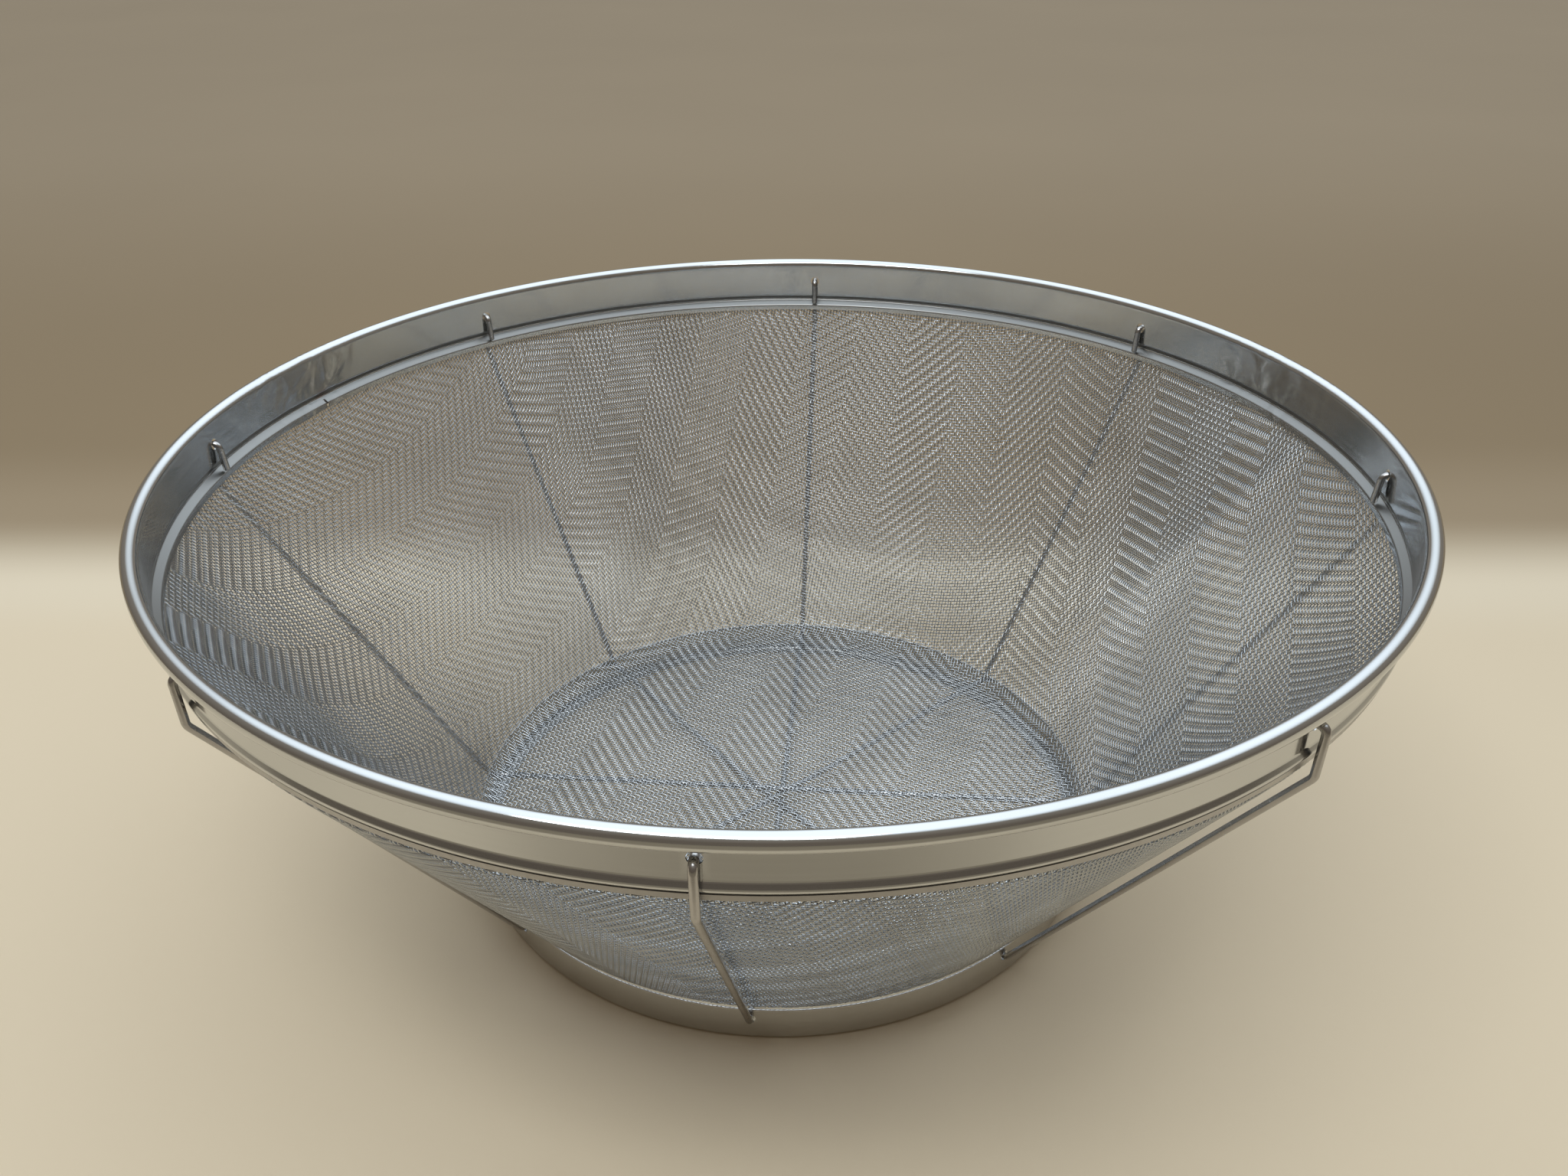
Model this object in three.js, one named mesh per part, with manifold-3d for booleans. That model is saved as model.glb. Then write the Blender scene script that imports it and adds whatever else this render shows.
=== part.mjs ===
// Colander: a woven wire bowl in a rolled rim band, standing on a foot ring.
// Four continuous wires hook through the band, run down outside the bowl and cross under its floor.
// Millimetres, +Z up. The origin is the centre of the foot's flat underside.

import * as THREE from 'three';
import { mergeVertices } from 'three/addons/utils/BufferGeometryUtils.js';
import Module from 'manifold-3d';

const wasm = await Module();
wasm.setup();

// Overall sizes
const RIM_DIAMETER = 360;
const OVERALL_HEIGHT = 142.5;
const FOOT_DIAMETER = 209;
const FIT_GAP = 0.3;
const SHEET_GAP = 0.2;

// Rim band: rolled bead, upright wall, swaged nose, ledge and lip
const BAND_SHEET = 0.5;
const BEAD_DIAMETER = 4.6;
const BEAD_OPENING = 0.3;
const WALL_DROP = 11.7;
const NOSE_DROP = 13.7;
const NOSE_REACH = 1.1;
const LEDGE_DROP = 15.5;
const LEDGE_WIDTH = 2.7;
const LIP_DROP = 17.2;
const WALL_BEND = 1.5;
const NOSE_BEND = 0.9;
const LIP_BEND = 0.7;

// Backing hoop behind the edge of the wire cloth
const HOOP_SHEET = 0.5;
const HOOP_HEIGHT = 1.4;

// Wire cloth bowl
const CLOTH_THICKNESS = 0.8;
const CLOTH_EDGE_DROP = 0.8;
const CLOTH_EDGE_BEND = 2;
const FLOOR_BEND = 10;

// Foot ring: upright wall and inward flange
const FOOT_SHEET = 0.7;
const FOOT_HEIGHT = 12;
const FOOT_FLANGE = 4;
const FOOT_BEND = 1.2;

// Rib wires and the holes that they pass through
const RIB_COUNT = 4;
const RIB_DIAMETER = 2.1;
const RIM_HOLE_DROP = 6;
const FOOT_HOLE_DROP = 3.8;
const HOLE_CLEARANCE = 0.65;
const PEG_LEAN = 0.6;
const HOOK_BEND = 1.7;
const KNEE_DROP = 19;
const KNEE_BEND = 3;
const ANKLE_REACH = 0.8;
const ANKLE_BEND = 3;
const CROSSING_RUN = 20;
const CROSSING_BEND = 150;

// Facets
const ROUND_SEGMENTS = 56;
const BEND_STEPS = 3;
const WIRE_SIDES = 8;
const HOLE_SIDES = 12;
const SAME_POINT = 1e-4;
const SHARPEST_MITRE = 0.5;

// Sizes that follow from the ones above
const beadRadius = BEAD_DIAMETER / 2;
const beadCentreR = RIM_DIAMETER / 2 - beadRadius;
const beadCentreZ = OVERALL_HEIGHT - beadRadius;
const curlRadius = beadRadius - BAND_SHEET / 2;
const wallR = beadCentreR - curlRadius;
const wallInnerR = wallR - BAND_SHEET / 2;
const wallOuterR = wallR + BAND_SHEET / 2;
const noseR = wallR + NOSE_REACH;
const lipR = noseR - LEDGE_WIDTH;
const lipBottomZ = beadCentreZ - LIP_DROP;
const ribRadius = RIB_DIAMETER / 2;
const holeRadius = ribRadius + HOLE_CLEARANCE;
const footOuterR = FOOT_DIAMETER / 2;
const footWallR = footOuterR - FOOT_SHEET / 2;
const footInnerR = footOuterR - FOOT_SHEET;
const footHoleZ = FOOT_HEIGHT - FOOT_HOLE_DROP;
const wireStep = RIB_DIAMETER + SHEET_GAP;
const topCrossingZ = SHEET_GAP + ribRadius + (RIB_COUNT - 1) * wireStep;
const floorZ = topCrossingZ + ribRadius + SHEET_GAP + CLOTH_THICKNESS / 2;
const clothEdgeR = lipR + BAND_SHEET / 2 + SHEET_GAP + CLOTH_THICKNESS / 2;
const hoopR = clothEdgeR + CLOTH_THICKNESS / 2 + SHEET_GAP + HOOP_SHEET / 2;
const ledgeSlope = (LEDGE_DROP - NOSE_DROP) / LEDGE_WIDTH;
const ledgeHalf = (BAND_SHEET / 2) * Math.hypot(1, ledgeSlope);

const steel = (color, roughness) => new THREE.MeshStandardMaterial({ color, roughness, metalness: 1 });
const bandSteel = steel(0xb9b6ae, 0.18);
const coreSteel = steel(0x9c9c9a, 0.4);
const hoopSteel = steel(0xaaa89f, 0.3);
const clothSteel = steel(0x9d9c98, 0.35);
const footSteel = steel(0xb2aca0, 0.22);
const wireSteel = steel(0xa3a19b, 0.25);

// A line bent like sheet or wire: each corner is [r, z, bend radius], and the ends have no bend.
function bentLine(corners) {
  const path = new THREE.Path();
  path.moveTo(corners[0][0], corners[0][1]);
  for (let i = 1; i < corners.length - 1; i++) {
    const corner = new THREE.Vector2(corners[i][0], corners[i][1]);
    const back = new THREE.Vector2(corners[i - 1][0], corners[i - 1][1]).sub(corner).normalize();
    const ahead = new THREE.Vector2(corners[i + 1][0], corners[i + 1][1]).sub(corner).normalize();
    const halfAngle = Math.acos(THREE.MathUtils.clamp(back.dot(ahead), -1, 1)) / 2;
    const bend = corners[i][2];
    const start = corner.clone().addScaledVector(back, bend / Math.tan(halfAngle));
    const bisector = back.clone().add(ahead).normalize();
    const centre = corner.clone().addScaledVector(bisector, bend / Math.sin(halfAngle));
    const end = corner.clone().addScaledVector(ahead, bend / Math.tan(halfAngle));
    const startAngle = Math.atan2(start.y - centre.y, start.x - centre.x);
    const endAngle = Math.atan2(end.y - centre.y, end.x - centre.x);
    const clockwise = back.cross(ahead) > 0;
    path.lineTo(start.x, start.y);
    path.absarc(centre.x, centre.y, bend, startAngle, endAngle, clockwise);
  }
  const last = corners[corners.length - 1];
  path.lineTo(last[0], last[1]);
  return path;
}

// Points along a path: both ends of each straight run, and a few steps round each bend
function pathPoints(path) {
  const points = [];
  for (const curve of path.curves) {
    const steps = curve.isEllipseCurve ? BEND_STEPS : 1;
    for (const point of curve.getPoints(steps)) {
      const previous = points[points.length - 1];
      if (!previous || previous.distanceTo(point) > SAME_POINT) points.push(point);
    }
  }
  return points;
}

// The closed outline of a sheet: the middle line set off by half the thickness to each side
function sheetOutline(points, thickness) {
  const sides = [[], []];
  points.forEach((point, i) => {
    const before = points[Math.max(i - 1, 0)];
    const after = points[Math.min(i + 1, points.length - 1)];
    const into = point.clone().sub(before).normalize();
    const out = after.clone().sub(point).normalize();
    const along = into.add(out).normalize();
    const run = i === 0 ? after.clone().sub(point) : point.clone().sub(before);
    const slant = Math.max(along.dot(run.normalize()), SHARPEST_MITRE);
    const across = new THREE.Vector2(along.y, -along.x).multiplyScalar(thickness / 2 / slant);
    sides[0].push(point.clone().add(across));
    sides[1].push(point.clone().sub(across));
  });
  return [...sides[0], ...sides[1].reverse()];
}

// A ring turned about the Z axis from a closed outline
function turned(outline) {
  const counterClockwise = THREE.ShapeUtils.area(outline) > 0;
  const loop = counterClockwise ? [...outline] : [...outline].reverse();
  loop.push(loop[0].clone());
  return new THREE.LatheGeometry(loop, ROUND_SEGMENTS).rotateX(Math.PI / 2);
}

// A solid for cutting, from a closed geometry
function solid(geometry) {
  const bare = geometry.clone();
  bare.deleteAttribute('normal');
  bare.deleteAttribute('uv');
  const merged = mergeVertices(bare, SAME_POINT);
  const vertProperties = new Float32Array(merged.attributes.position.array);
  const triVerts = new Uint32Array(merged.index.array);
  const mesh = new wasm.Mesh({ numProp: 3, vertProperties, triVerts });
  mesh.merge();
  return new wasm.Manifold(mesh);
}

// Round holes through an upright wall, one at each end of every rib wire
function drilled(geometry, wallMiddleR, height) {
  const depth = RIB_DIAMETER * 2;
  let cut = solid(geometry);
  for (let i = 0; i < RIB_COUNT * 2; i++) {
    const angle = (i * Math.PI) / RIB_COUNT;
    const drill = new THREE.CylinderGeometry(holeRadius, holeRadius, depth, HOLE_SIDES);
    drill.rotateZ(Math.PI / 2);
    drill.translate(wallMiddleR, 0, height);
    drill.rotateZ(angle);
    cut = cut.subtract(solid(drill));
  }
  const result = cut.getMesh();
  const holed = new THREE.BufferGeometry();
  holed.setAttribute('position', new THREE.BufferAttribute(result.vertProperties, 3));
  holed.setIndex(new THREE.BufferAttribute(result.triVerts, 1));
  holed.computeVertexNormals();
  return holed;
}

// A bent wire visited point by point, so that straight runs take one step each
class BentWire extends THREE.Curve {
  constructor(points) {
    super();
    this.points = points;
  }

  getPoint(t, target = new THREE.Vector3()) {
    const place = t * (this.points.length - 1);
    const i = Math.min(Math.floor(place), this.points.length - 2);
    return target.lerpVectors(this.points[i], this.points[i + 1], place - i);
  }

  getUtoTmapping(u) {
    return u;
  }
}

const colander = new THREE.Group();

function addPiece(name, geometry, material) {
  const piece = new THREE.Mesh(geometry, material);
  piece.name = name;
  colander.add(piece);
}

// Height of the middle of the sloping ledge at a radius
function ledgeZ(radius) {
  return beadCentreZ - LEDGE_DROP + (radius - lipR) * ledgeSlope;
}

// Rim band: the lip, the ledge, the nose and the wall, then the curl of the bead by quarter turns
function rimBand() {
  const path = bentLine([
    [lipR, lipBottomZ],
    [lipR, beadCentreZ - LEDGE_DROP, LIP_BEND],
    [noseR, beadCentreZ - NOSE_DROP, NOSE_BEND],
    [wallR, beadCentreZ - WALL_DROP, WALL_BEND],
    [wallR, beadCentreZ],
  ]);
  const endReach = beadCentreR - wallOuterR - BEAD_OPENING;
  const curlEnd = -Math.PI + Math.acos(endReach / beadRadius);
  for (let angle = Math.PI; angle > curlEnd; angle -= Math.PI / 2) {
    const quarterEnd = Math.max(angle - Math.PI / 2, curlEnd);
    path.absarc(beadCentreR, beadCentreZ, curlRadius, angle, quarterEnd, true);
  }
  const hoop = turned(sheetOutline(pathPoints(path), BAND_SHEET));
  return drilled(hoop, wallR, beadCentreZ - RIM_HOLE_DROP);
}

// Core wire: the round wire that the bead is rolled over
function rimCoreWire() {
  const radius = beadRadius - BAND_SHEET - FIT_GAP;
  const round = new THREE.EllipseCurve(beadCentreR, beadCentreZ, radius, radius, 0, 2 * Math.PI);
  return turned(round.getPoints(WIRE_SIDES).slice(0, -1));
}

// Backing hoop: a flat strip round the outside of the cloth's edge, up under the ledge
function meshHoop() {
  const top = ledgeZ(hoopR - HOOP_SHEET / 2) - ledgeHalf - SHEET_GAP;
  const middle = [new THREE.Vector2(hoopR, top - HOOP_HEIGHT), new THREE.Vector2(hoopR, top)];
  return turned(sheetOutline(middle, HOOP_SHEET));
}

// Wire cloth bowl: a collar at the lip, a conical wall and a flat floor
function meshBowl() {
  const seatReach = FLOOR_BEND + CLOTH_THICKNESS / 2 + FIT_GAP;
  const bendZ = floorZ + FLOOR_BEND;
  const bendR = footInnerR - Math.sqrt(seatReach ** 2 - (bendZ - FOOT_HEIGHT) ** 2);
  const collarZ = lipBottomZ - CLOTH_EDGE_DROP;
  const wall = new THREE.Vector2(clothEdgeR - bendR, collarZ - bendZ);
  const wallTurn = Math.PI / 2 + wall.angle() - Math.acos(FLOOR_BEND / wall.length());
  const bent = bentLine([
    [0, floorZ],
    [bendR + FLOOR_BEND * Math.tan(wallTurn / 2), floorZ, FLOOR_BEND],
    [clothEdgeR, collarZ, CLOTH_EDGE_BEND],
    [clothEdgeR, ledgeZ(clothEdgeR - CLOTH_THICKNESS / 2) - ledgeHalf - SHEET_GAP],
  ]);
  return turned(sheetOutline(pathPoints(bent), CLOTH_THICKNESS));
}

// Foot ring: an upright wall that the bowl sits in, with a flat flange turned inwards
function footRing() {
  const bent = bentLine([
    [footOuterR - FOOT_FLANGE, FOOT_SHEET / 2],
    [footWallR, FOOT_SHEET / 2, FOOT_BEND],
    [footWallR, FOOT_HEIGHT],
  ]);
  const hoop = turned(sheetOutline(pathPoints(bent), FOOT_SHEET));
  return drilled(hoop, footWallR, footHoleZ);
}

// One half of a rib wire, from the middle of the floor out to its peg inside the rim
function ribHalf(crossingZ) {
  const holeZ = beadCentreZ - RIM_HOLE_DROP;
  const pegR = wallInnerR - FIT_GAP - ribRadius;
  const pegEndR = pegR - PEG_LEAN;
  const pegEndZ = ledgeZ(pegEndR + ribRadius) + ledgeHalf + FIT_GAP;
  const hookR = noseR + BAND_SHEET / 2 + FIT_GAP + ribRadius;
  return bentLine([
    [0, crossingZ],
    [CROSSING_RUN, crossingZ, CROSSING_BEND],
    [footOuterR + ANKLE_REACH, footHoleZ, ANKLE_BEND],
    [hookR, beadCentreZ - KNEE_DROP, KNEE_BEND],
    [hookR, holeZ, HOOK_BEND],
    [pegR, holeZ, HOOK_BEND],
    [pegEndR, pegEndZ],
  ]);
}

// Rib wire: two mirrored halves in one upright plane through the axis
function ribWire(index) {
  const crossingZ = topCrossingZ - index * wireStep;
  const half = pathPoints(ribHalf(crossingZ));
  const mirrored = half.slice(1).reverse().map((point) => new THREE.Vector2(-point.x, point.y));
  const angle = (index * Math.PI) / RIB_COUNT;
  const points = [...mirrored, ...half].map((point) =>
    new THREE.Vector3(point.x * Math.cos(angle), point.x * Math.sin(angle), point.y));
  const round = new THREE.EllipseCurve(0, 0, ribRadius, ribRadius, 0, 2 * Math.PI);
  const section = new THREE.Shape(round.getPoints(WIRE_SIDES).slice(0, -1));
  const extrudePath = new BentWire(points);
  return new THREE.ExtrudeGeometry(section, { steps: points.length - 1, extrudePath });
}

addPiece('rim_band', rimBand(), bandSteel);
addPiece('rim_core_wire', rimCoreWire(), coreSteel);
addPiece('mesh_hoop', meshHoop(), hoopSteel);
addPiece('mesh_bowl', meshBowl(), clothSteel);
addPiece('foot_ring', footRing(), footSteel);
for (let i = 0; i < RIB_COUNT; i++) {
  addPiece(`rib_wire_${i + 1}`, ribWire(i), wireSteel);
}

export default colander;
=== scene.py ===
# %% [markdown]
# # A wire colander, piece by piece
# The object is a wide bowl of woven steel wire. A hoop of rolled sheet stiffens its rim, a low ring
# makes its foot, and four long wires tie the two together. The imported model fixes where each piece
# sits and how big it is, and the sizes below, in millimetres, repeat those of its solids. The first
# step loads it.

# %% Load the imported model
import math
import bmesh
import bpy
import numpy as np
from mathutils import Matrix, Vector


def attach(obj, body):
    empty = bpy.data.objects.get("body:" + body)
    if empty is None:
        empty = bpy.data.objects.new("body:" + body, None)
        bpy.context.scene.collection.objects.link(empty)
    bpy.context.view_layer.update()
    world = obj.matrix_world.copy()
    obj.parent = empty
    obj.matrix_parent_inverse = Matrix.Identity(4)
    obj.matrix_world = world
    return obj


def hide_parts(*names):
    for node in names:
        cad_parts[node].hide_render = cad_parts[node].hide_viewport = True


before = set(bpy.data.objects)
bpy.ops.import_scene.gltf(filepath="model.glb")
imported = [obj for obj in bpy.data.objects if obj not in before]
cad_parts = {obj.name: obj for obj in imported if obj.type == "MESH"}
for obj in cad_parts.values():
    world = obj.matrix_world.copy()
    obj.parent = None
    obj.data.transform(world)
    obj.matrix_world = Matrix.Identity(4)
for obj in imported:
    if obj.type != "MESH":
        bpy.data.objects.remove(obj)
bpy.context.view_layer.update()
MM = 0.001
print("pieces in the packed model:", ", ".join(sorted(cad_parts)))

# %% [markdown]
# ## The camera
# The picture was taken from a little above the rim, quite close, with the lens of a phone. The place
# and the two directions below were worked out from the ovals of the rim and the foot and from the
# eight pegs. The object sits low and to one side of the lens axis, so the frame is shifted a little.

# %% Camera at the picture's viewing angle
CAMERA_PLACE = Vector((32.16, -349.33, 293.20)) * MM
CAMERA_RIGHT = Vector((0.99548, 0.09398, -0.01395))
CAMERA_UP = Vector((-0.04119, 0.55923, 0.82799))
SENSOR_WIDTH = 36.0
FOCAL_LENGTH = 29.22
FRAME_SHIFT = (0.01053, 0.05695)
NEAREST_SEEN = 0.01

lens = bpy.data.cameras.new("camera")
lens.sensor_width = SENSOR_WIDTH
lens.lens = FOCAL_LENGTH
lens.shift_x, lens.shift_y = FRAME_SHIFT
lens.clip_start = NEAREST_SEEN
camera = bpy.data.objects.new("camera", lens)
bpy.context.scene.collection.objects.link(camera)
turn = Matrix((CAMERA_RIGHT, CAMERA_UP, CAMERA_RIGHT.cross(CAMERA_UP))).transposed()
camera.matrix_world = Matrix.Translation(CAMERA_PLACE) @ turn.to_4x4()
bpy.context.scene.camera = camera
print("camera", [round(value, 3) for value in camera.location])

# %% [markdown]
# ## Steel finishes
# Everything here is stainless steel, but the sheet, the drawn wire and the woven cloth don't shine
# alike. Rolled sheet is nearly a mirror with long faint lines that run round the hoop, and the foot,
# the drawn wire and the fine wire of the cloth are a bit duller. One helper makes them all: a metal
# shader whose tone, gloss and small unevenness come from noise in Object coordinates, stretched along
# the rolling direction where the sheet was rolled.

# %% Helper for the steel finishes
NOISE_LOW, NOISE_HIGH = 0.25, 0.75


def add_node(tree, kind, **values):
    node = tree.nodes.new(kind)
    for name, value in values.items():
        if name in node.inputs:
            node.inputs[name].default_value = value
        else:
            setattr(node, name, value)
    return node


def steel_finish(name, pale, dark, gloss, dull, blotch_scale, streaks, wave_scale, wave):
    finish = bpy.data.materials.new(name)
    finish.use_nodes = True
    tree = finish.node_tree
    shader = tree.nodes["Principled BSDF"]
    shader.inputs["Metallic"].default_value = 1.0
    place = add_node(tree, "ShaderNodeTexCoord")
    stretch = add_node(tree, "ShaderNodeMapping", Scale=streaks)
    lines = add_node(tree, "ShaderNodeTexNoise", Scale=1.0, Detail=4.0, Roughness=0.6)
    blotches = add_node(tree, "ShaderNodeTexNoise", Scale=blotch_scale, Detail=3.0)
    tone = add_node(tree, "ShaderNodeMix", data_type="RGBA")
    tone.inputs["A"].default_value = (*dark, 1.0)
    tone.inputs["B"].default_value = (*pale, 1.0)
    polish = add_node(tree, "ShaderNodeMapRange")
    polish.inputs["From Min"].default_value = NOISE_LOW
    polish.inputs["From Max"].default_value = NOISE_HIGH
    polish.inputs["To Min"].default_value = gloss
    polish.inputs["To Max"].default_value = dull
    waves = add_node(tree, "ShaderNodeTexNoise", Scale=wave_scale, Detail=1.0)
    bump = add_node(tree, "ShaderNodeBump", Strength=1.0, Distance=wave)
    link = tree.links.new
    link(place.outputs["Object"], stretch.inputs["Vector"])
    link(stretch.outputs["Vector"], lines.inputs["Vector"])
    link(place.outputs["Object"], blotches.inputs["Vector"])
    link(place.outputs["Object"], waves.inputs["Vector"])
    link(blotches.outputs["Fac"], tone.inputs["Factor"])
    link(tone.outputs["Result"], shader.inputs["Base Color"])
    link(lines.outputs["Fac"], polish.inputs["Value"])
    link(polish.outputs["Result"], shader.inputs["Roughness"])
    link(waves.outputs["Fac"], bump.inputs["Height"])
    link(bump.outputs["Normal"], shader.inputs["Normal"])
    return finish


print("the helper sets a metal's tone, gloss and waves")

# %% [markdown]
# Each finish gets a pale and a dark tone to wander between, its glossiest and dullest roughness, and
# the scale and depth of its unevenness. The streaks of rolled sheet are noise that is squeezed a
# hundred times more in height than along the hoop, and drawn wire has the same fine noise all ways.

# %% Five finishes
ROUND_THE_HOOP = (10.0, 10.0, 1100.0)
ALL_WAYS = (900.0, 900.0, 900.0)

rolled_sheet = steel_finish("rolled_sheet", pale=(0.62, 0.63, 0.63), dark=(0.50, 0.51, 0.51),
                            gloss=0.05, dull=0.17, blotch_scale=18.0, streaks=ROUND_THE_HOOP,
                            wave_scale=30.0, wave=0.00016)
foot_sheet = steel_finish("foot_sheet", pale=(0.62, 0.61, 0.59), dark=(0.50, 0.49, 0.47),
                          gloss=0.12, dull=0.28, blotch_scale=22.0, streaks=ROUND_THE_HOOP,
                          wave_scale=30.0, wave=0.0002)
drawn_wire = steel_finish("drawn_wire", pale=(0.52, 0.51, 0.50), dark=(0.34, 0.33, 0.32),
                          gloss=0.14, dull=0.30, blotch_scale=60.0, streaks=ALL_WAYS,
                          wave_scale=140.0, wave=0.0001)
cloth_wire = steel_finish("cloth_wire", pale=(0.60, 0.63, 0.66), dark=(0.38, 0.40, 0.42),
                          gloss=0.13, dull=0.22, blotch_scale=45.0, streaks=ALL_WAYS,
                          wave_scale=220.0, wave=0.00004)
hidden_steel = steel_finish("hidden_steel", pale=(0.50, 0.49, 0.48), dark=(0.38, 0.37, 0.36),
                            gloss=0.25, dull=0.45, blotch_scale=40.0, streaks=ALL_WAYS,
                            wave_scale=120.0, wave=0.0001)
finishes = (rolled_sheet, foot_sheet, drawn_wire, cloth_wire, hidden_steel)
print("finishes:", ", ".join(finish.name for finish in finishes))

# %% [markdown]
# ## Bent lines
# Sheet and wire are both bent over tools with rounded edges. So each form starts as a few corners,
# each with the radius of its bend, and this helper puts an arc in place of every corner. A sheet
# then gets its thickness by moving the line to both sides.

# %% Helpers for bent lines and sheet sections
ARC_STEP = math.radians(11)


def bent_line(corners):
    points = [np.array(corners[0][:2], float)]
    for before, here, after in zip(corners, corners[1:], corners[2:]):
        corner = np.array(here[:2], float)
        come = corner - np.array(before[:2], float)
        go = np.array(after[:2], float) - corner
        come /= np.linalg.norm(come)
        go /= np.linalg.norm(go)
        side = come[0] * go[1] - come[1] * go[0]
        angle = math.atan2(side, float(come @ go))
        bend = here[2]
        start = corner - come * bend * math.tan(abs(angle) / 2)
        centre = start + np.array((-come[1], come[0])) * bend * math.copysign(1, angle)
        arm = start - centre
        steps = max(2, math.ceil(abs(angle) / ARC_STEP))
        for step in range(steps + 1):
            part = angle * step / steps
            points.append(centre + np.array((arm[0] * math.cos(part) - arm[1] * math.sin(part),
                                             arm[0] * math.sin(part) + arm[1] * math.cos(part))))
    points.append(np.array(corners[-1][:2], float))
    return np.array(points)


def sheet_section(line, sheet):
    along = np.gradient(line, axis=0)
    along /= np.linalg.norm(along, axis=1)[:, None]
    across = np.stack([-along[:, 1], along[:, 0]], 1) * sheet / 2
    return np.concatenate([line + across, (line - across)[::-1]])


quarter = bent_line([(0, 0), (10, 0, 3), (10, 10)])
print("a quarter bend has", len(quarter), "points")

# %% [markdown]
# ## Turned pieces
# The rim, its core wire, the backing hoop and the foot are all round, so each one is a section spun
# once round the upright axis. The spin operator does in one go what the lathe or the rolling mill
# does on the real sheet. Sharp edges are kept sharp by their angle and the rest is shaded smooth.

# %% Helpers that spin a section and finish a piece
SHARP_EDGE = math.radians(40)


def finish_piece(piece, finish, slot, *nodes):
    piece.data.materials.clear()
    piece.data.materials.append(finish)
    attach(piece, "root")
    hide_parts(*nodes)
    piece.data.calc_loop_triangles()
    print(piece.name, "has", len(piece.data.loop_triangles), "triangles")


def piece_from(name, mesh_maker):
    mesh = bpy.data.meshes.new(name)
    mesh_maker.to_mesh(mesh)
    mesh_maker.free()
    mesh.shade_smooth()
    mesh.set_sharp_from_angle(angle=SHARP_EDGE)
    piece = bpy.data.objects.new(name, mesh)
    bpy.context.scene.collection.objects.link(piece)
    return piece


def spun(name, section, steps):
    maker = bmesh.new()
    ring = [maker.verts.new((x * MM, 0, z * MM)) for x, z in section]
    edges = [maker.edges.new((a, b)) for a, b in zip(ring, ring[1:] + ring[:1])]
    bmesh.ops.spin(maker, geom=ring + edges, cent=(0, 0, 0), axis=(0, 0, 1), angle=math.tau,
                   steps=steps, use_merge=True, use_duplicate=False)
    bmesh.ops.recalc_face_normals(maker, faces=maker.faces)
    return piece_from(name, maker)


print("edges over", round(math.degrees(SHARP_EDGE)), "degrees stay sharp")

# %% [markdown]
# ## Holes
# The rim and the foot have eight holes each, two for every rib wire. On the real sheet a punch makes
# them, and here a ring of short round bars is taken away with a Boolean modifier. Its result is kept
# as the new mesh at once, so no tool object is left behind.

# %% Helpers that cut holes
RIB_COUNT = 4
HOLE_COUNT = 2 * RIB_COUNT
HOLE_RADIUS = 1.7
HOLE_SIDES = 32
DRILL_REACH = 3.0


def cut_away(piece, maker):
    tool = piece_from("cutting_tool", maker)
    cut = piece.modifiers.new("cut", "BOOLEAN")
    cut.operation = "DIFFERENCE"
    cut.solver = "EXACT"
    cut.object = tool
    whole = piece.evaluated_get(bpy.context.evaluated_depsgraph_get())
    mesh = bpy.data.meshes.new_from_object(whole)
    piece.modifiers.clear()
    piece.data = mesh
    mesh.name = piece.name
    mesh.shade_smooth()
    mesh.set_sharp_from_angle(angle=SHARP_EDGE)
    bpy.data.objects.remove(tool)


def drill_ring(maker, radius, height):
    for number in range(HOLE_COUNT):
        turn = (Matrix.Rotation(math.tau * number / HOLE_COUNT, 4, "Z")
                @ Matrix.Translation((radius * MM, 0, height * MM))
                @ Matrix.Rotation(math.pi / 2, 4, "Y"))
        bmesh.ops.create_cone(maker, cap_ends=True, segments=HOLE_SIDES, radius1=HOLE_RADIUS * MM,
                              radius2=HOLE_RADIUS * MM, depth=DRILL_REACH * MM, matrix=turn)


print("holes in each hoop:", HOLE_COUNT)

# %% [markdown]
# ## The rim band
# One strip of sheet makes the whole rim. Its top is rolled outwards over a core wire, its wall stands
# upright, and its lower edge is swaged out to a small nose, turned in as a ledge and down as a lip.
# Drawing that line once and spinning it keeps every bend as smooth as the roller left it. The strip's
# two ends meet in a butt weld, and the ledge and lip stay open there for a millimetre.

# %% Section of the rim band, from its lip up to the end of its curl
RIM_RADIUS = 180.0
TOP = 142.5
BEAD = 2.3
SHEET = 0.5
LIP_INSET = 1.6
NOSE_REACH = 1.1
LIP_END_DROP, LEDGE_DROP, NOSE_DROP, WALL_DROP, CURL_DROP = 17.2, 15.5, 13.7, 11.7, 0.4
LEDGE_BEND, NOSE_BEND, WALL_BEND = 0.7, 0.9, 1.5
CURL_STEPS = 26
CURL_END = -math.radians(130.7)

curl = BEAD - SHEET / 2
bead_r = RIM_RADIUS - BEAD
bead_z = TOP - BEAD
wall_r = bead_r - curl
lip_r = wall_r - LIP_INSET
lower = bent_line([(lip_r, bead_z - LIP_END_DROP), (lip_r, bead_z - LEDGE_DROP, LEDGE_BEND),
                   (wall_r + NOSE_REACH, bead_z - NOSE_DROP, NOSE_BEND),
                   (wall_r, bead_z - WALL_DROP, WALL_BEND), (wall_r, bead_z - CURL_DROP)])
turns = np.linspace(math.pi, CURL_END, CURL_STEPS)
rolled = np.stack([bead_r + curl * np.cos(turns), bead_z + curl * np.sin(turns)], 1)
band_line = np.concatenate([lower, rolled])
print("points along the band's line:", len(band_line))

# %% [markdown]
# The spun strip then gets its eight holes and its open joint in one cut. The joint is a thin block,
# as wide as the gap, that reaches through the ledge and the lip only.

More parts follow.
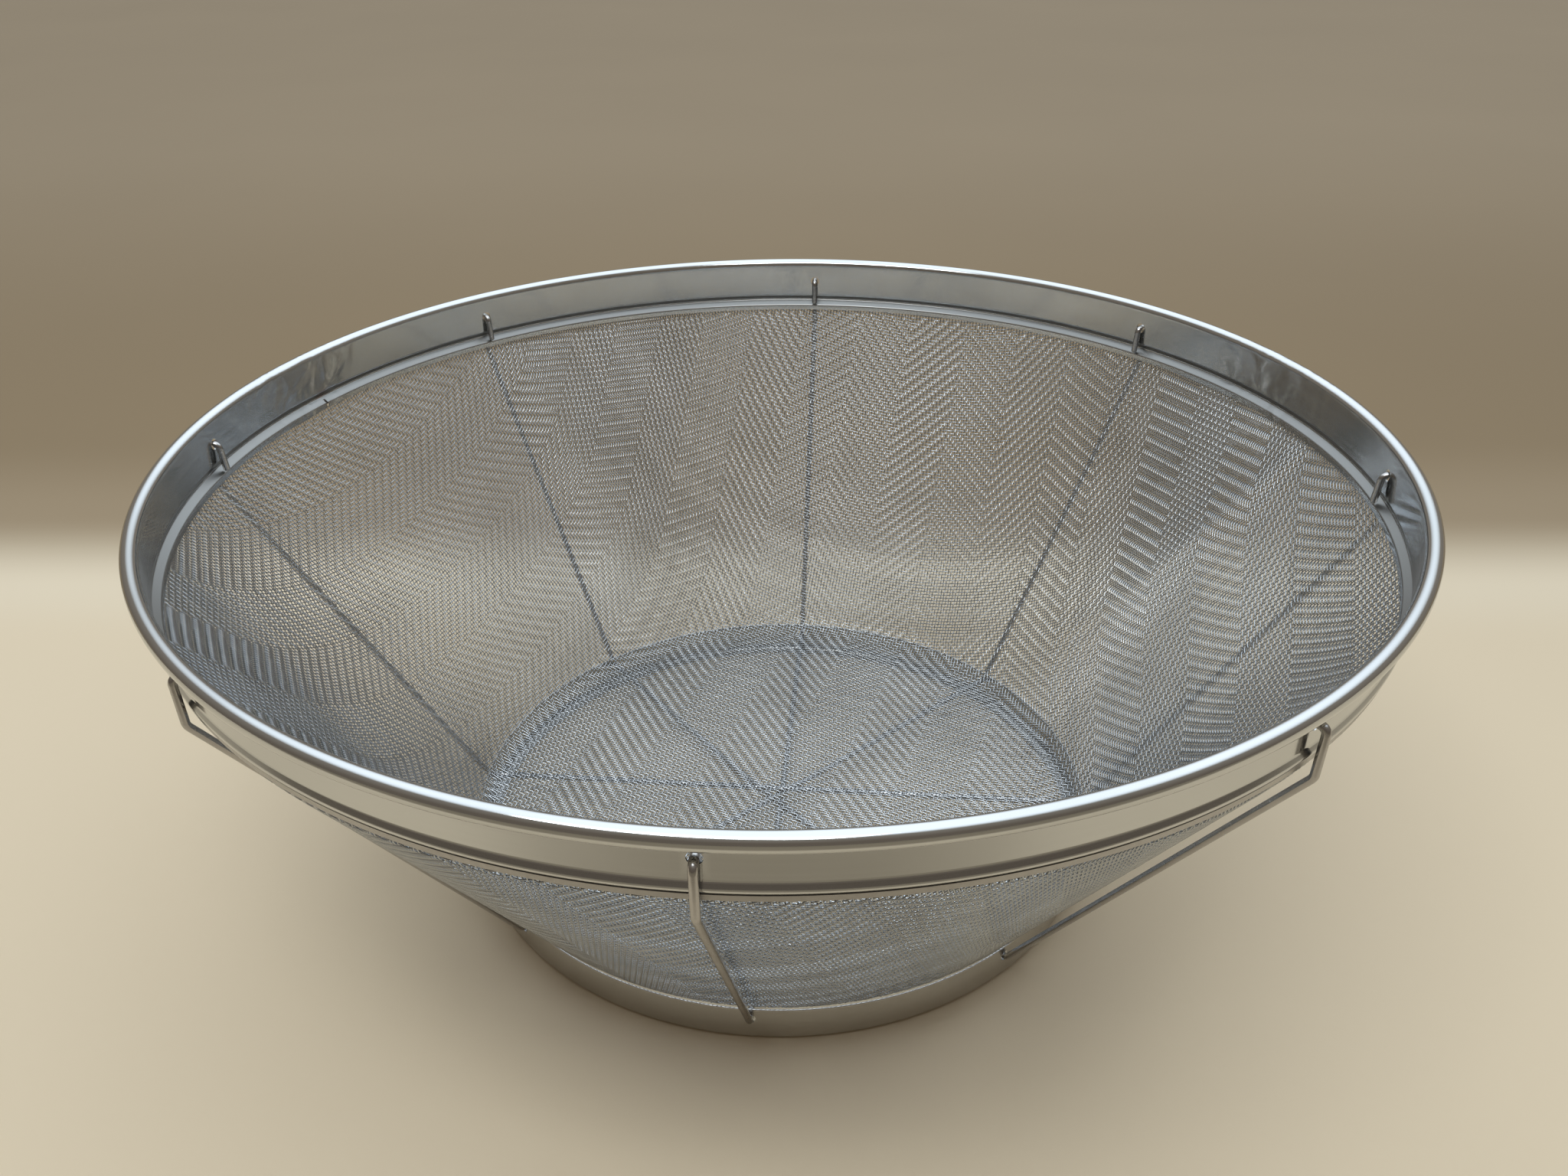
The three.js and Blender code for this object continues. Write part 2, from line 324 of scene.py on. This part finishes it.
# %% Rim band with its holes and its joint
BAND_STEPS = 360
RIM_HOLES = bead_z - 6.0
JOINT_ANGLE = math.radians(160.5)
JOINT_DROP = 16.4
JOINT_DEPTH, JOINT_GAP, JOINT_HEIGHT = 3.0, 0.9, 4.0

rim_band = spun("rim_band_polished", sheet_section(band_line, SHEET), BAND_STEPS)
tools = bmesh.new()
drill_ring(tools, wall_r, RIM_HOLES)
joint_block = Matrix.Diagonal((JOINT_DEPTH * MM, JOINT_GAP * MM, JOINT_HEIGHT * MM, 1.0))
bmesh.ops.create_cube(tools, size=1.0, matrix=Matrix.Rotation(JOINT_ANGLE, 4, "Z")
                      @ Matrix.Translation((lip_r * MM, 0, (bead_z - JOINT_DROP) * MM))
                      @ joint_block)
cut_away(rim_band, tools)
finish_piece(rim_band, rolled_sheet, "band_steel", "rim_band")

# %% [markdown]
# Welding leaves its marks. The sheet is rippled for a few centimetres beside the joint and in one
# more place where the rollers gripped, and the heat has tinted a spot just above the open end of the
# ledge. Both are masks by distance from a point, so they stay where they are on the object.

# %% Helpers for marks at a place on the band
def on_band(angle, drop):
    return wall_r * math.cos(angle), wall_r * math.sin(angle), bead_z - drop


def near_spots(tree, place, spots, reach):
    nearest = None
    for spot in spots:
        gap = add_node(tree, "ShaderNodeVectorMath", operation="DISTANCE")
        gap.inputs[1].default_value = Vector(spot) * MM
        fade = add_node(tree, "ShaderNodeMapRange", interpolation_type="SMOOTHSTEP")
        fade.inputs["From Min"].default_value = reach * MM
        fade.inputs["From Max"].default_value = 0.0
        tree.links.new(place.outputs["Object"], gap.inputs[0])
        tree.links.new(gap.outputs["Value"], fade.inputs["Value"])
        if nearest is None:
            nearest = fade.outputs["Result"]
        else:
            most = add_node(tree, "ShaderNodeMath", operation="MAXIMUM")
            tree.links.new(nearest, most.inputs[0])
            tree.links.new(fade.outputs["Result"], most.inputs[1])
            nearest = most.outputs["Value"]
    return nearest


print("joint at", [round(value, 1) for value in on_band(JOINT_ANGLE, LEDGE_DROP)])

# %% [markdown]
# The ripples are a soft noise that bends the reflections, added on top of the sheet's own faint
# waves. The tint is a reddish tone mixed into the sheet's own tone.

# %% Ripples and heat tint on the band
BESIDE_JOINT = JOINT_ANGLE + 0.05
GRIP_ANGLE = math.radians(24.0)
RIPPLE_DROP = 7.0
RIPPLE_REACH = 42.0
RIPPLE_DEPTH = 0.0009
TINT_DROP = 13.5
TINT_REACH = 4.5
HEAT_TINT = (0.50, 0.42, 0.40, 1.0)

band_tree = rolled_sheet.node_tree
band_shader = band_tree.nodes["Principled BSDF"]
band_place = add_node(band_tree, "ShaderNodeTexCoord")
band_link = band_tree.links.new
ripple_spots = (on_band(BESIDE_JOINT, RIPPLE_DROP), on_band(GRIP_ANGLE, RIPPLE_DROP))
rippled = near_spots(band_tree, band_place, ripple_spots, RIPPLE_REACH)
ripples = add_node(band_tree, "ShaderNodeTexNoise", Scale=95.0, Detail=1.5, Distortion=0.6)
ripple_bump = add_node(band_tree, "ShaderNodeBump", Distance=RIPPLE_DEPTH)
smooth_bump = band_shader.inputs["Normal"].links[0].from_socket
band_link(band_place.outputs["Object"], ripples.inputs["Vector"])
band_link(ripples.outputs["Fac"], ripple_bump.inputs["Height"])
band_link(rippled, ripple_bump.inputs["Strength"])
band_link(smooth_bump, ripple_bump.inputs["Normal"])
band_link(ripple_bump.outputs["Normal"], band_shader.inputs["Normal"])
tinted = near_spots(band_tree, band_place, (on_band(JOINT_ANGLE, TINT_DROP),), TINT_REACH)
tint = add_node(band_tree, "ShaderNodeMix", data_type="RGBA")
tint.inputs["B"].default_value = HEAT_TINT
plain_tone = band_shader.inputs["Base Color"].links[0].from_socket
band_link(tinted, tint.inputs["Factor"])
band_link(plain_tone, tint.inputs["A"])
band_link(tint.outputs["Result"], band_shader.inputs["Base Color"])
print("rippled places:", len(ripple_spots))

# %% [markdown]
# The side of the ledge that faces up is painted with shade: a darker grey tone that dims the bright
# reflection it catches from above, and it is made duller as well. So the mask asks two things of a
# point: does its surface face upwards, and does it lie below the wall?

# %% Painted shade and dull roughness on the band's ledge
WALL_FOOT = bead_z - 12.0
FACES_UP_FROM, FACES_UP_FULLY = 0.2, 0.7
# Painted shade: the ledge's upward face gets this darker grey in place of its bright reflection.
LEDGE_PAINTED_SHADE = (0.26, 0.26, 0.252, 1.0)
LEDGE_ROUGHNESS = 0.34

facing = add_node(band_tree, "ShaderNodeSeparateXYZ")
upright = add_node(band_tree, "ShaderNodeSeparateXYZ")
faces_up = add_node(band_tree, "ShaderNodeMapRange", interpolation_type="SMOOTHSTEP")
faces_up.inputs["From Min"].default_value = FACES_UP_FROM
faces_up.inputs["From Max"].default_value = FACES_UP_FULLY
below_wall = add_node(band_tree, "ShaderNodeMath", operation="LESS_THAN")
below_wall.inputs[1].default_value = WALL_FOOT * MM
shaded_ledge = add_node(band_tree, "ShaderNodeMath", operation="MULTIPLY")
# This mix paints shade on the ledge's upward face; the mix after it makes that face duller.
painted_ledge_shade = add_node(band_tree, "ShaderNodeMix", data_type="RGBA")
painted_ledge_shade.inputs["B"].default_value = LEDGE_PAINTED_SHADE
duller = add_node(band_tree, "ShaderNodeMix", data_type="FLOAT")
duller.inputs["B"].default_value = LEDGE_ROUGHNESS
wall_tone = band_shader.inputs["Base Color"].links[0].from_socket
wall_polish = band_shader.inputs["Roughness"].links[0].from_socket
band_link(band_place.outputs["Normal"], facing.inputs["Vector"])
band_link(band_place.outputs["Object"], upright.inputs["Vector"])
band_link(facing.outputs["Z"], faces_up.inputs["Value"])
band_link(upright.outputs["Z"], below_wall.inputs[0])
band_link(faces_up.outputs["Result"], shaded_ledge.inputs[0])
band_link(below_wall.outputs["Value"], shaded_ledge.inputs[1])
band_link(shaded_ledge.outputs["Value"], painted_ledge_shade.inputs["Factor"])
band_link(shaded_ledge.outputs["Value"], duller.inputs["Factor"])
band_link(wall_tone, painted_ledge_shade.inputs["A"])
band_link(wall_polish, duller.inputs["A"])
band_link(painted_ledge_shade.outputs["Result"], band_shader.inputs["Base Color"])
band_link(duller.outputs["Result"], band_shader.inputs["Roughness"])
print("scuffed below", round(WALL_FOOT, 1), "mm")

# %% [markdown]
# ## Core wire and backing hoop
# Two pieces hardly show: the wire that the bead is rolled round, and the thin strip that presses the
# edge of the cloth against the band's lip. They close the rim, so they are here as plain rings.

# %% Core wire and backing hoop
CORE_SIDES = 12
CORE_STEPS = 180
CORE_PLAY = 0.3
HOOP_RADIUS = 175.75
HOOP_HEIGHTS = (123.77, 124.5, 125.17)
HOOP_SHEET = 0.5

core_turns = np.linspace(0, math.tau, CORE_SIDES, endpoint=False)
core_radius = BEAD - SHEET - CORE_PLAY
core_section = np.stack([bead_r + core_radius * np.cos(core_turns),
                         bead_z + core_radius * np.sin(core_turns)], 1)
rim_core = spun("rim_core_drawn", core_section, CORE_STEPS)
finish_piece(rim_core, hidden_steel, "core_steel", "rim_core_wire")

hoop_line = np.array([(HOOP_RADIUS, height) for height in HOOP_HEIGHTS])
mesh_hoop = spun("mesh_hoop_strip", sheet_section(hoop_line, HOOP_SHEET), BAND_STEPS)
finish_piece(mesh_hoop, hidden_steel, "hoop_steel", "mesh_hoop")

# %% [markdown]
# ## The foot ring
# The foot is a low hoop of thicker sheet with its bottom edge turned in, so that it stands on a smooth
# bend and not on a cut edge. Its top edge is deburred, so the section ends in half a circle there. The
# rib wires go in through eight holes near that edge.

# %% Foot ring
FOOT_RADIUS = 104.5
FOOT_INNER = 100.5
FOOT_TOP = 12.0
FOOT_BEND = 1.2
FOOT_SHEET = 0.7
FOOT_HOLES = 8.2
FOOT_STEPS = 300
END_STEPS = 5


def rounded_end(line, sheet, steps):
    tip = line[-1] - line[-2]
    tip = tip / np.linalg.norm(tip) * sheet / 2
    side = np.array((-tip[1], tip[0]))
    section = sheet_section(np.concatenate([line[:-1], [line[-1] - tip]]), sheet)
    turn = np.linspace(0, math.pi, steps + 2)[1:-1, None]
    arc = line[-1] - tip + side * np.cos(turn) + tip * np.sin(turn)
    return np.concatenate([section[:len(line)], arc, section[len(line):]])


foot_r = FOOT_RADIUS - FOOT_SHEET / 2
foot_line = bent_line([(FOOT_INNER, FOOT_SHEET / 2), (foot_r, FOOT_SHEET / 2, FOOT_BEND),
                       (foot_r, FOOT_TOP)])
foot_ring = spun("foot_ring_polished", rounded_end(foot_line, FOOT_SHEET, END_STEPS), FOOT_STEPS)
tools = bmesh.new()
drill_ring(tools, foot_r, FOOT_HOLES)
cut_away(foot_ring, tools)
finish_piece(foot_ring, foot_sheet, "foot_steel", "foot_ring")

# %% [markdown]
# ## Round wires
# A curve with a round bevel is the simplest way to give a bent line its thickness. It is made a mesh
# at once, so that every piece is of one kind. The ribs and the cloth are both made with this helper;
# a rib's two ends are drawn a little thinner, so its tip is narrower than the wire.

# %% Helper that turns lines into round wires
def wires_from(name, lines, radius, side_steps, tip=1.0):
    path = bpy.data.curves.new(name, "CURVE")
    path.dimensions = "3D"
    path.bevel_depth = radius * MM
    path.bevel_resolution = side_steps
    path.use_fill_caps = True
    path.twist_mode = "MINIMUM"
    for line in lines:
        spline = path.splines.new("POLY")
        spline.points.add(len(line) - 1)
        place = np.ones((len(line), 4))
        place[:, :3] = line * MM
        spline.points.foreach_set("co", place.ravel())
        spline.points[0].radius = tip
        spline.points[-1].radius = tip
    holder = bpy.data.objects.new(name + "_path", path)
    bpy.context.scene.collection.objects.link(holder)
    solid = holder.evaluated_get(bpy.context.evaluated_depsgraph_get())
    mesh = bpy.data.meshes.new_from_object(solid)
    mesh.name = name
    bpy.data.objects.remove(holder)
    bpy.data.curves.remove(path)
    mesh.shade_smooth()
    piece = bpy.data.objects.new(name, mesh)
    bpy.context.scene.collection.objects.link(piece)
    return piece


print("wire helper ready")

# %% [markdown]
# ## The rib wires
# Each rib is one long wire. It starts as a short peg inside the rim, goes out through a hole, bends
# down, follows the bowl to the foot, passes in through a hole, crosses under the floor and does the
# same on the far side. So half of it is listed as corners and the other half is its mirror image. The
# four cross under the middle, and each one lies a step lower there than the one before.

# %% Four rib wires
RIB_RADIUS = 1.05
RIB_SIDE_STEPS = 4
PEG_R = 174.05
PEG_END = (173.45, 125.6)
PEG_TIP = 0.45
PEG_BEND = 2.0
PEG_TAPER = 0.65
HOOK_R = 178.35
HOOK_BEND = 1.7
KNEE_Z = 121.2
KNEE_BEND = 3.0
ANKLE = (105.3, FOOT_HOLES)
ANKLE_BEND = 3.0
CROSSING_RUN = 20.0
CROSSING_TOP = 8.15
CROSSING_BEND = 150.0
WIRE_STEP = 2.3


def mirrored(corners):
    return [(-corner[0], *corner[1:]) for corner in reversed(corners)]


for number in range(RIB_COUNT):
    crossing = CROSSING_TOP - WIRE_STEP * number
    half = [(CROSSING_RUN, crossing, CROSSING_BEND), (*ANKLE, ANKLE_BEND),
            (HOOK_R, KNEE_Z, KNEE_BEND), (HOOK_R, RIM_HOLES, HOOK_BEND),
            (PEG_R, RIM_HOLES, HOOK_BEND), (PEG_END[0], PEG_END[1] + PEG_TIP, PEG_BEND), PEG_END]
    line = bent_line(mirrored(half) + half)
    angle = math.pi * number / RIB_COUNT
    rib = np.stack([line[:, 0] * math.cos(angle), line[:, 0] * math.sin(angle), line[:, 1]], 1)
    wire = wires_from(f"rib_wire_{number + 1}_drawn", [rib], RIB_RADIUS, RIB_SIDE_STEPS, tip=PEG_TAPER)
    finish_piece(wire, drawn_wire, "wire_steel", f"rib_wire_{number + 1}")

# %% [markdown]
# ## The bowl's shape
# The bowl is pressed from a flat disc of wire cloth: a flat floor, a rounded knuckle, a straight
# leaning wall and a short upright collar that the rim holds. Its mid-line is measured along its run,
# because the cloth's wires keep their length when they are pressed, so run is what the weave counts.

# %% Mid-line of the bowl and its table of run, radius, height and lean
CLOTH_FLOOR = 9.8
FLOOR_CORNER_R = 101.9
KNUCKLE_BEND = 10.0
COLLAR_R = 174.9
COLLAR_FOOT = 122.2
COLLAR_BEND = 2.0
EDGE_Z = 124.5
SPARE_COLLAR = 12.0
TABLE_STEP = 0.05
SOFT_SPAN = 21

bends = bent_line([(0, CLOTH_FLOOR), (FLOOR_CORNER_R, CLOTH_FLOOR, KNUCKLE_BEND),
                   (COLLAR_R, COLLAR_FOOT, COLLAR_BEND), (COLLAR_R, EDGE_Z + SPARE_COLLAR)])
lengths = np.linalg.norm(np.diff(bends, axis=0), axis=1)
run = np.concatenate([[0], np.cumsum(lengths)])
fine = np.arange(0, run[-1], TABLE_STEP)
bowl_r = np.interp(fine, run, bends[:, 0])
bowl_z = np.interp(fine, run, bends[:, 1])
steep = np.arctan2(np.gradient(bowl_z), np.gradient(bowl_r))
soft = np.ones(SOFT_SPAN) / SOFT_SPAN
lean = np.convolve(np.pad(steep, SOFT_SPAN // 2, mode="edge"), soft, "valid")
rising = slice(len(fine) // 2, None)
edge_run = float(np.interp(EDGE_Z, bowl_z[rising], fine[rising]))
print("run from the centre to the edge of the cloth:", round(edge_run, 1), "mm")

# %% [markdown]
# The weave is worked out on the flat disc and then laid on the bowl. This helper takes a place on the
# disc, keeps its direction, turns its distance into run along the mid-line, and also says which way
# a small step in x and in y goes on the bowl.

# %% Helper that lays the flat disc on the bowl
NEVER_ZERO = 1e-9


def on_bowl(flat):
    reach = np.maximum(np.hypot(flat[..., 0], flat[..., 1]), NEVER_ZERO)
    radius = np.interp(reach, fine, bowl_r)
    slope = np.interp(reach, fine, lean)
    east, north = flat[..., 0] / reach, flat[..., 1] / reach
    point = np.stack([radius * east, radius * north, np.interp(reach, fine, bowl_z)], -1)
    outwards = np.stack([np.cos(slope) * east, np.cos(slope) * north, np.sin(slope)], -1)
    around = np.stack([-north, east, np.zeros_like(east)], -1) * (radius / reach)[..., None]
    in_x = east[..., None] * outwards - north[..., None] * around
    in_y = north[..., None] * outwards + east[..., None] * around
    return point, in_x, in_y


edge_point = on_bowl(np.array([[edge_run, 0.0]]))[0][0]
print("a point on the edge of the cloth:", [round(float(value), 1) for value in edge_point])

# %% [markdown]
# ## The net of crossings
# When a woven disc is pressed into a bowl its wires neither stretch nor slip, so every little square
# keeps its sides and turns into a diamond where the cloth must draw in. That is a fishnet: the middle
# warp and the middle weft run straight up the wall, and every other crossing lies one pitch from two
# crossings that are already placed. A few Newton steps find it on the bowl, one row of crossings after
# another, and the other three quarters are mirror images of the first.

# %% Place the crossings of one quarter
WARP_PITCH = 1.25
WEFT_PITCH = 1.20
PAST_EDGE = 0.5
NEWTON_STEPS = 6

warps = int(edge_run / WARP_PITCH) + 2
wefts = int(edge_run / WEFT_PITCH) + 2
net = np.full((warps, wefts, 2), np.nan)
net[:, 0] = np.stack([np.arange(warps) * WARP_PITCH, np.zeros(warps)], 1)
net[0, :] = np.stack([np.zeros(wefts), np.arange(wefts) * WEFT_PITCH], 1)
for row in range(2, warps + wefts - 1):
    i = np.arange(max(1, row - wefts + 1), min(warps, row))
    j = row - i
    beside, below = net[i - 1, j], net[i, j - 1]
    ready = np.fmin(np.hypot(*beside.T), np.hypot(*below.T)) < edge_run + PAST_EDGE
    ready &= np.isfinite(beside[:, 0]) & np.isfinite(below[:, 0])
    if not ready.any():
        continue
    i, j, beside, below = i[ready], j[ready], beside[ready], below[ready]
    flat = beside + below - net[i - 1, j - 1]
    from_beside, from_below = on_bowl(beside)[0], on_bowl(below)[0]
    for newton in range(NEWTON_STEPS):
        point, in_x, in_y = on_bowl(flat)
        a, b = point - from_beside, point - from_below
        miss_a = ((a * a).sum(-1) - WARP_PITCH ** 2) / 2
        miss_b = ((b * b).sum(-1) - WEFT_PITCH ** 2) / 2
        ax, ay = (a * in_x).sum(-1), (a * in_y).sum(-1)
        bx, by = (b * in_x).sum(-1), (b * in_y).sum(-1)
        whole = ax * by - ay * bx
        flat = flat - np.stack([(miss_a * by - miss_b * ay) / whole,
                                (miss_b * ax - miss_a * bx) / whole], -1)
    net[i, j] = flat
print("crossings in a quarter:", int((np.hypot(net[..., 0], net[..., 1]) < edge_run).sum()))

# %% [markdown]
# ## The weave
# The cloth is a herringbone: a twill in which every wire goes over two and under two, one step further
# on from wire to wire, and the step turns round every eighteen warps. That gives the zigzag stripes.
# Mirroring the quarter gives all the crossings. The one in the very centre has no direction of its
# own, so it is set a hair to one side.

# %% Say which wire is on top at every crossing
STRIPE = 18
STRIPE_START = 4
TWILL_OVER, TWILL_REPEAT = 2, 4
BESIDE_CENTRE = (1e-6, 0.0)

count_i, count_j = np.arange(1 - warps, warps), np.arange(1 - wefts, wefts)
step_way = np.where(np.floor((count_i + STRIPE_START) / STRIPE) % 2 == 0, 1, -1)
twill = np.cumsum(step_way)
signs = np.stack(np.meshgrid(np.sign(count_i), np.sign(count_j), indexing="ij"), -1)
flat = net[np.abs(count_i)][:, np.abs(count_j)] * np.where(signs == 0, 1, signs)
flat[warps - 1, wefts - 1] = BESIDE_CENTRE
inside = np.hypot(flat[..., 0], flat[..., 1]) < edge_run
warp_over = np.where((count_j[None] - twill[:, None]) % TWILL_REPEAT < TWILL_OVER, 1.0, -1.0)
print("crossings in the cloth:", int(inside.sum()))

# %% [markdown]
# Each wire is a line through its crossings, moved to the inside or the outside of the bowl as the
# twill says. The whole weave is then turned a little round the upright axis, because the disc was
# pressed with its stripes at an angle to the ribs.

# %% Weave the wires
WEAVE_TURN = math.radians(-15.7)
CLOTH_LIFT = 0.20
FEWEST_CROSSINGS = 4

spin_x, spin_y = math.cos(WEAVE_TURN), math.sin(WEAVE_TURN)


def woven_line(places, sides):
    point, in_x, in_y = on_bowl(places)
    normal = np.cross(in_x, in_y)
    normal /= np.linalg.norm(normal, axis=-1)[:, None]
    line = point + normal * (sides * CLOTH_LIFT)[:, None]
    return np.stack([line[:, 0] * spin_x - line[:, 1] * spin_y,
                     line[:, 0] * spin_y + line[:, 1] * spin_x, line[:, 2]], -1)


def woven_set(places, held, sides):
    lines = []
    for place, kept, side in zip(places, held, sides):
        where = np.flatnonzero(kept)
        if len(where) >= FEWEST_CROSSINGS:
            lines.append(woven_line(place[where], side[where]))
    return lines


warp_lines = woven_set(flat, inside, warp_over)
weft_lines = woven_set(flat.transpose(1, 0, 2), inside.T, -warp_over.T)
print("warps:", len(warp_lines), " wefts:", len(weft_lines))

# %% [markdown]
# One mesh of all the wires would be too heavy, so they go into ten pieces, each a bundle of
# neighbours. Such fine wire needs only four sides, because smooth shading rounds it.

# %% Make the cloth's pieces
CLOTH_WIRE = 0.21
CLOTH_SIDE_STEPS = 0
BUNDLE_POINTS = 22000


def bundles(lines):
    bundle, points = [], 0
    for line in lines:
        if points + len(line) > BUNDLE_POINTS:
            yield bundle
            bundle, points = [], 0
        bundle.append(line)
        points += len(line)
    yield bundle


for kind, lines in (("warp", warp_lines), ("weft", weft_lines)):
    for number, bundle in enumerate(bundles(lines), 1):
        cloth = wires_from(f"cloth_{kind}_{number}", bundle, CLOTH_WIRE, CLOTH_SIDE_STEPS)
        finish_piece(cloth, cloth_wire, "cloth_steel", "mesh_bowl")

# %% [markdown]
# ## The floor
# Polished steel shows what is round it, so the surroundings are half of its colour. The object stands
# on a plain pale warm board. Its tone changes along one straight way only: it is even round the
# object and turns darker behind it, partly a darker tone of its own and partly painted shade, and
# darker also nearer than the lower edge of the view, a painted shadow there that only the steel sees.

# %% Floor of pale board with painted shade
FLOOR_HALF = 3.0
BOARD_ROUGHNESS = 0.8
BOARD_GLOSS = 0.12
BOARD_WAY = (-0.068, 0.998, 0.0)
BOARD_SPAN = (-0.6, 1.2)
# The first stop is a painted shadow nearer than the view; the dark stops behind are partly tone,
# partly painted shade.
BOARD_TONES_AND_SHADE = ((-0.36, (0.26, 0.21, 0.145)), (-0.25, (0.62, 0.515, 0.37)),
               (0.108, (0.62, 0.515, 0.37)), (0.156, (0.64, 0.545, 0.405)),
               (0.228, (0.29, 0.22, 0.14)), (0.324, (0.235, 0.173, 0.103)),
               (1.20, (0.295, 0.228, 0.15)))
PATCH_LOW, PATCH_HIGH = 0.95, 1.05


def tone_ramp(tree, tones):
    ramp = add_node(tree, "ShaderNodeValToRGB")
    while len(ramp.color_ramp.elements) < len(tones):
        ramp.color_ramp.elements.new(0.5)
    for element, (stop, colour) in zip(ramp.color_ramp.elements, tones):
        element.position = stop
        element.color = (*colour, 1.0)
    return ramp


maker = bmesh.new()
bmesh.ops.create_grid(maker, x_segments=1, y_segments=1, size=FLOOR_HALF)
mesh = bpy.data.meshes.new("floor")
maker.to_mesh(mesh)
maker.free()
floor = bpy.data.objects.new("floor", mesh)
bpy.context.scene.collection.objects.link(floor)
board = bpy.data.materials.new("pale_board")
board.use_nodes = True
tree = board.node_tree
shader = tree.nodes["Principled BSDF"]
shader.inputs["Roughness"].default_value = BOARD_ROUGHNESS
shader.inputs["Specular IOR Level"].default_value = BOARD_GLOSS
place = add_node(tree, "ShaderNodeTexCoord")
away = add_node(tree, "ShaderNodeVectorMath", operation="DOT_PRODUCT")
away.inputs[1].default_value = BOARD_WAY
share = add_node(tree, "ShaderNodeMapRange")
share.inputs["From Min"].default_value = BOARD_SPAN[0]
share.inputs["From Max"].default_value = BOARD_SPAN[1]
span = BOARD_SPAN[1] - BOARD_SPAN[0]
tone = tone_ramp(tree, [((stop - BOARD_SPAN[0]) / span, colour) for stop, colour in BOARD_TONES_AND_SHADE])
tone.color_ramp.interpolation = "EASE"
cloud = add_node(tree, "ShaderNodeTexNoise", Scale=2.5, Detail=3.0)
patchy = add_node(tree, "ShaderNodeMapRange")
patchy.inputs["To Min"].default_value = PATCH_LOW
patchy.inputs["To Max"].default_value = PATCH_HIGH
patchy_tone_and_shade = add_node(tree, "ShaderNodeHueSaturation")
tree.links.new(place.outputs["Object"], away.inputs[0])
tree.links.new(away.outputs["Value"], share.inputs["Value"])
tree.links.new(share.outputs["Result"], tone.inputs["Fac"])
tree.links.new(place.outputs["Object"], cloud.inputs["Vector"])
tree.links.new(cloud.outputs["Fac"], patchy.inputs["Value"])
tree.links.new(patchy.outputs["Result"], patchy_tone_and_shade.inputs["Value"])
tree.links.new(tone.outputs["Color"], patchy_tone_and_shade.inputs["Color"])
tree.links.new(patchy_tone_and_shade.outputs["Color"], shader.inputs["Base Color"])
mesh.materials.append(board)
print("floor", [round(value, 2) for value in floor.dimensions])

# %% [markdown]
# ## The lamp
# One wide cool panel hangs in front of the object and above it. It is wide so that its light is soft,
# and it puts the long pale streaks on the front of the bead and on the wires.

# %% Front panel
PANEL_PLACE = Vector((-0.15, -0.50, 1.20))
PANEL_AIM = Vector((0, 0, 0.08))
PANEL_SIZE = (0.80, 0.30)
PANEL_POWER = 5.4
PANEL_COLOUR = (0.92, 0.97, 1.0)

panel = bpy.data.lights.new("front_panel", "AREA")
panel.shape = "RECTANGLE"
panel.size, panel.size_y = PANEL_SIZE
panel.energy = PANEL_POWER
panel.color = PANEL_COLOUR
holder = bpy.data.objects.new("front_panel", panel)
holder.location = PANEL_PLACE
holder.rotation_euler = (PANEL_AIM - PANEL_PLACE).to_track_quat("-Z", "Y").to_euler()
bpy.context.scene.collection.objects.link(holder)
print("lamps:", len(bpy.data.lights))

# %% [markdown]
# ## The room
# The rest of the light comes from the world. It is a dim warm room with one broad bright patch, a
# little cool, behind the object and above it, like a window or a lit ceiling. Metal needs that
# contrast: in an even grey world it would look like grey paint. How close a direction lies to the
# middle of the patch, by their dot product, picks the tone.

# %% World of a dim room with a bright patch
WINDOW_WAY = (0.05, 0.40, 0.915)
ROOM_TONES = ((0.00, (0.12, 0.10, 0.08)), (0.58, (0.20, 0.18, 0.155)),
              (0.76, (0.90, 1.00, 1.09)), (0.88, (1.10, 1.21, 1.31)))
ROOM_STRENGTH = 1.45

world = bpy.data.worlds.new("room")
bpy.context.scene.world = world
world.use_nodes = True
tree = world.node_tree
sky = tree.nodes["Background"]
sky.inputs["Strength"].default_value = ROOM_STRENGTH
place = add_node(tree, "ShaderNodeTexCoord")
towards = add_node(tree, "ShaderNodeVectorMath", operation="DOT_PRODUCT")
towards.inputs[1].default_value = WINDOW_WAY
ramp = tone_ramp(tree, ROOM_TONES)
tree.links.new(place.outputs["Generated"], towards.inputs[0])
tree.links.new(towards.outputs["Value"], ramp.inputs["Fac"])
tree.links.new(ramp.outputs["Color"], sky.inputs["Color"])
bpy.context.scene.view_settings.view_transform = "Standard"
print("room tones:", len(ROOM_TONES))
